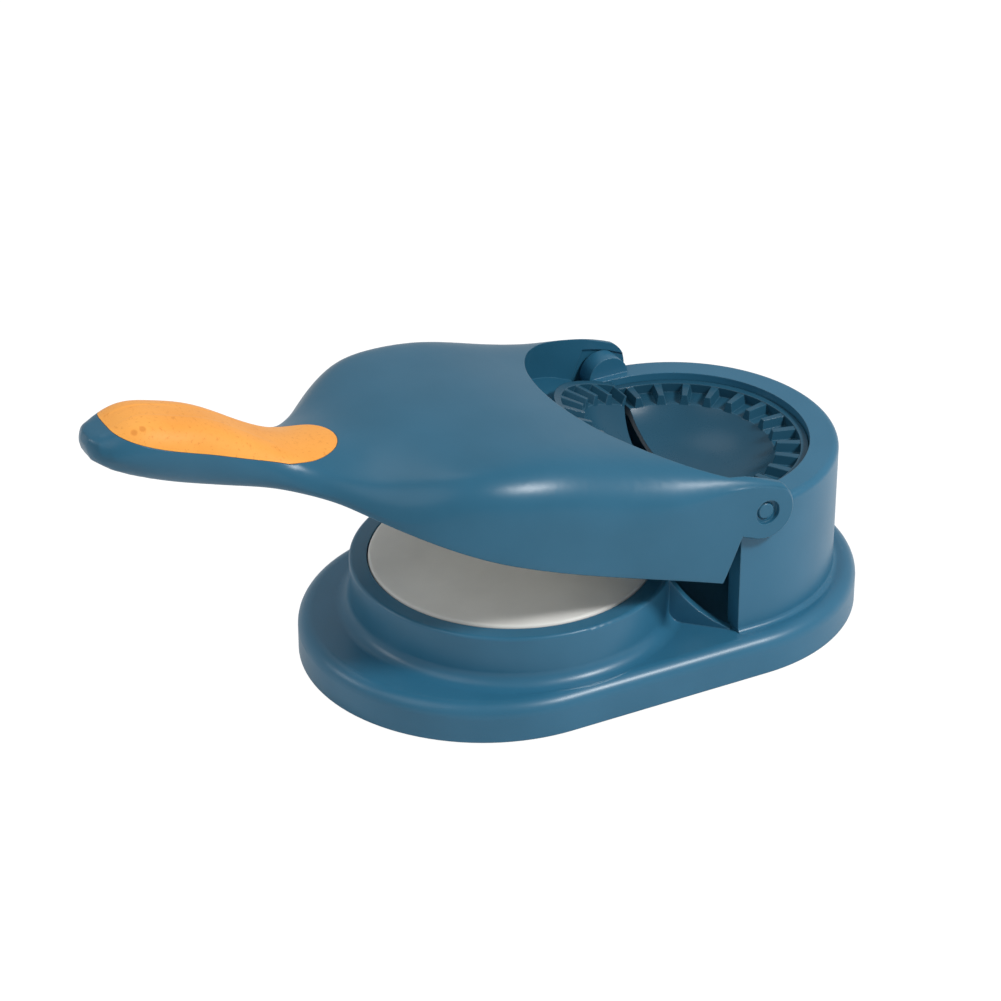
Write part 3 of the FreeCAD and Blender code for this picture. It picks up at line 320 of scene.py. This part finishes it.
# Camera: the photograph's own view, found from the plate, the ledge and the tower.
view = {
    "stand": Vector((-0.43405, -0.83280, 0.59190)), "target": Vector((0.01807, 0.02158, 0.03608)),
    "lens": 125.87, "sensor": 36.0,
}
cameraData = bpy.data.cameras.new("photoCamera")
cameraData.lens = view["lens"]
cameraData.sensor_width = view["sensor"]
cameraData.clip_end = 20.0
camera = bpy.data.objects.new("photoCamera", cameraData)
camera.location = view["stand"]
camera.rotation_mode = "QUATERNION"
camera.rotation_quaternion = (view["target"] - view["stand"]).to_track_quat("-Z", "Y")
scene.collection.objects.link(camera)
scene.camera = camera
scene.view_settings.view_transform = "Standard"
print("camera set")

# The lever's skin, the solid's own form with a blunter nose at the end of its handle.
nose = {
    "hinge": Vector((0.07015, 0, 0.0565)), "lift": math.radians(22), "middle": -0.02765,
    "start": 0.1990, "end": 0.2042, "depth": 0.0043, "halfWide": 0.0096, "halfTall": 0.0046,
    "weld": 0.000002, "flatSlack": 0.00006, "slice": 0.0004, "easeLength": 0.0012,
    "rings": [0.85, 0.7, 0.55, 0.4, 0.25, 0.12],
    "sag": 0.0012, "sagStart": 0.180, "sagLength": 0.019, "sagDepth": 0.0045,
    "chins": [(0.184, 5), (0.187, 5), (0.190, 6), (0.193, 6), (0.196, 8)],  # starts and rounds of smoothing
    "chinTop": -0.0012, "chinBend": -0.003, "chinSlope": 2, "seamSlack": 0.0001,
}
along = Vector((-math.cos(nose["lift"]), 0, math.sin(nose["lift"])))
upward = Vector((math.sin(nose["lift"]), 0, math.cos(nose["lift"])))


def onLever(point):  # reach from the hinge, side and height, in the lever's own directions
    step = point - nose["hinge"]
    return along.dot(step), step.y, upward.dot(step) - nose["middle"]


def offLever(reach, sideways, height):
    point = nose["hinge"] + along * reach + upward * (height + nose["middle"])
    return Vector((point.x, sideways, point.z))


def easeIn(value):
    value = min(max(value, 0.0), 1.0)
    return value * value * (3 - 2 * value)


def bluntNose(mesh):
    grid = bmesh.new()
    grid.from_mesh(mesh)
    bmesh.ops.remove_doubles(grid, verts=grid.verts, dist=nose["weld"])
    # the flat at the end becomes rings, so that it can be domed
    edgeReach = nose["end"] - nose["flatSlack"]
    flat = [f for f in grid.faces if all(onLever(v.co)[0] > edgeReach for v in f.verts)]
    flatSet = set(flat)
    rim = [e for e in grid.edges if sum(f in flatSet for f in e.link_faces) == 1]
    bmesh.ops.delete(grid, geom=flat, context="FACES")
    shares = {v: 1.0 for e in rim for v in e.verts}
    last = 1.0
    for share in nose["rings"]:
        made = bmesh.ops.extrude_edge_only(grid, edges=rim)["geom"]
        rim = [g for g in made if isinstance(g, bmesh.types.BMEdge)]
        for v in [g for g in made if isinstance(g, bmesh.types.BMVert)]:
            reach, sideways, height = onLever(v.co)
            v.co = offLever(reach, sideways * share / last, height * share / last)
            shares[v] = share
        last = share
    bmesh.ops.holes_fill(grid, edges=rim, sides=0)
    near = [(v,) + onLever(v.co) for v in grid.verts if onLever(v.co)[0] > nose["sagStart"]]
    tip = [row for row in near if row[1] > nose["start"] - nose["slice"]]
    moved = {}
    for v, reach, sideways, height in near:
        if reach > nose["start"]:
            ring = [row for row in tip if abs(row[1] - reach) < nose["slice"]]
            wide = max(abs(row[2]) for row in ring)
            tall = max(abs(row[3]) for row in ring)
            turn = 0.5 * (reach - nose["start"]) / (nose["end"] - nose["start"])
            if v in shares:
                turn = 0.5 + 0.5 * (1 - shares[v])
                wide, tall = wide * shares[v], tall * shares[v]
            turn = turn * math.pi / 2
            ease = easeIn((reach - nose["start"]) / nose["easeLength"])
            domed = (nose["start"] + nose["depth"] * math.sin(turn),
                     sideways / wide * nose["halfWide"] * math.cos(turn),
                     height / tall * nose["halfTall"] * math.cos(turn))
            reach, sideways, height = (old + (new - old) * ease
                                       for old, new in zip((reach, sideways, height), domed))
        sag = easeIn((reach - nose["sagStart"]) / nose["sagLength"]) * easeIn(-height / nose["sagDepth"])
        moved[v] = offLever(reach, sideways, height - nose["sag"] * sag)
    for v, place in moved.items():
        v.co = place
    # smoothed in steps towards the tip; the seam round the grip stays where it is
    for chin, rounds in nose["chins"]:
        soft = []
        for v, reach, sideways, height in near:
            below = chin + max(0.0, height - nose["chinBend"]) * nose["chinSlope"]
            if reach > nose["start"] - nose["seamSlack"] or reach > below and height < nose["chinTop"]:
                soft.append(v)
        for step in range(rounds):
            bmesh.ops.smooth_vert(grid, verts=soft, factor=0.5,
                                  use_axis_x=True, use_axis_y=True, use_axis_z=True)
    bmesh.ops.recalc_face_normals(grid, faces=grid.faces)
    grid.to_mesh(mesh)
    grid.free()
    return len(moved)


leverSkin = bpy.data.objects.new("leverSkin", nodes["lever_shell"].data.copy())
scene.collection.objects.link(leverSkin)
if "custom_normal" in leverSkin.data.attributes:
    leverSkin.data.attributes.remove(leverSkin.data.attributes["custom_normal"])
print("nose rounded:", bluntNose(leverSkin.data), "points")
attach(leverSkin, "lever")
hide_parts("lever_shell")

# Finishes on the solids, and on the skin that stands for the lever's.
plateLow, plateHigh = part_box("dough_plate")
plateCentre = (plateLow + plateHigh) / 2
shellPlastic = glossyPlastic("shellPlastic", shellLook)
litBasePlastic = glossyPlastic("litBasePlastic", litBaseLook)
shadedMouldPlastic = glossyPlastic("shadedMouldPlastic", shadedMouldLook)
coverPlastic = glossyPlastic("coverPlastic", coverLook)
pinPlastic = glossyPlastic("pinPlastic", pinLook)
discPlastic = ivoryDisc("discPlastic", discLook, tuple(plateCentre))
gripRubber = softGrip("gripRubber", gripLook)
blackRubber = footRubber("blackRubber", rubberLook)
zincSteel = zincScrew("zincSteel", screwLook)

finishes = {
    shellPlastic: ["lever_shell"],
    litBasePlastic: ["base_shell"],
    shadedMouldPlastic: ["rear_mould", "front_mould"],
    coverPlastic: ["bottom_cover", "lever_underside"],
    pinPlastic: ["hinge_pin_left", "hinge_pin_right"],
    discPlastic: ["dough_plate", "press_disc"],
    gripRubber: ["thumb_grip"],
    blackRubber: [name for name in nodes if name.startswith("foot_")],
    zincSteel: [name for name in nodes if name.endswith("_screws")],
}
sharpAngle = math.radians(28)
for material, names in finishes.items():
    for name in names:
        mesh = leverSkin.data if name == "lever_shell" else nodes[name].data
        mesh.materials.clear()
        mesh.materials.append(material)
        mesh.shade_smooth()
        mesh.set_sharp_from_angle(angle=sharpAngle)
print("finishes on:", sum(len(names) for names in finishes.values()), "solids")

# Light: a small lamp on the right, soft ones overhead and on the left, and a dim white room.
lamps = {
    "keyLamp": {"toward": Vector((0.42, -0.58, 0.70)), "distance": 1.1, "size": 0.22, "power": 9.0},
    "softLamp": {"toward": Vector((-0.05, 0.48, 0.87)), "distance": 1.2, "size": 0.6, "power": 1.2},
    "leftLamp": {"toward": Vector((-0.65, -0.15, 0.72)), "distance": 1.2, "size": 0.8, "power": 1.9},
    "sideLamp": {"toward": Vector((-0.80, 0.42, 0.42)), "distance": 1.2, "size": 0.36, "power": 1.7},
}
middle = (cadBox[0] + cadBox[1]) / 2
for name, lamp in lamps.items():
    data = bpy.data.lights.new(name, "AREA")
    data.shape = "DISK"
    data.size = lamp["size"]
    data.energy = lamp["power"]
    holder = bpy.data.objects.new(name, data)
    holder.location = middle + lamp["toward"].normalized() * lamp["distance"]
    holder.rotation_mode = "QUATERNION"
    holder.rotation_quaternion = (middle - holder.location).to_track_quat("-Z", "Y")
    scene.collection.objects.link(holder)

room = {"fill": 0.30, "shadow": 0.12, "glow": 1.12, "mirror": 0.35}


def shownRay(graph):  # 1 for what the camera sees, directly or through something clear, less in a mirror
    rays = graph.add("ShaderNodeLightPath")
    seen, mirrored, through = (Line(graph, rays.outputs[name])
                               for name in ("Is Camera Ray", "Is Glossy Ray", "Is Transmission Ray"))
    either = graph.line("ShaderNodeMath", {"operation": "MAXIMUM"},
                        {0: mirrored * room["mirror"], 1: through})
    return graph.line("ShaderNodeMath", {"operation": "MAXIMUM"}, {0: seen, 1: either})


world = bpy.data.worlds.new("whiteRoom")
scene.world = world
sky = Graph(world)
plain = shownRay(sky)
strength = room["fill"] + plain * (1 - room["fill"])
backdrop = sky.line("ShaderNodeBackground", {}, {"Color": (1, 1, 1, 1), "Strength": strength})
sky.add("ShaderNodeOutputWorld", {}, {"Surface": backdrop})

# Floor: white to the camera, with a part of the real shadow left in.
ground = {"side": 6.0, "grey": (0.82, 0.82, 0.82, 1)}
floorMesh = bpy.data.meshes.new("floor")
side = ground["side"]
corners = [(-side, -side, 0), (side, -side, 0), (side, side, 0), (-side, side, 0)]
floorMesh.from_pydata(corners, [], [(0, 1, 2, 3)])
floor = bpy.data.objects.new("floor", floorMesh)
scene.collection.objects.link(floor)
floorPaint = bpy.data.materials.new("floorPaint")
floorGraph = Graph(floorPaint)
floorSeen = shownRay(floorGraph)
matt = floorGraph.line("ShaderNodeBsdfDiffuse", {}, {"Color": ground["grey"]})
glow = floorGraph.line("ShaderNodeEmission", {}, {"Color": (1, 1, 1, 1), "Strength": room["glow"]})
mixed = floorGraph.line("ShaderNodeMixShader", {},
                        {0: floorSeen * (1 - room["shadow"]), 1: matt, 2: glow})
floorGraph.add("ShaderNodeOutputMaterial", {}, {"Surface": mixed})
floorMesh.materials.append(floorPaint)
print("light and floor set")
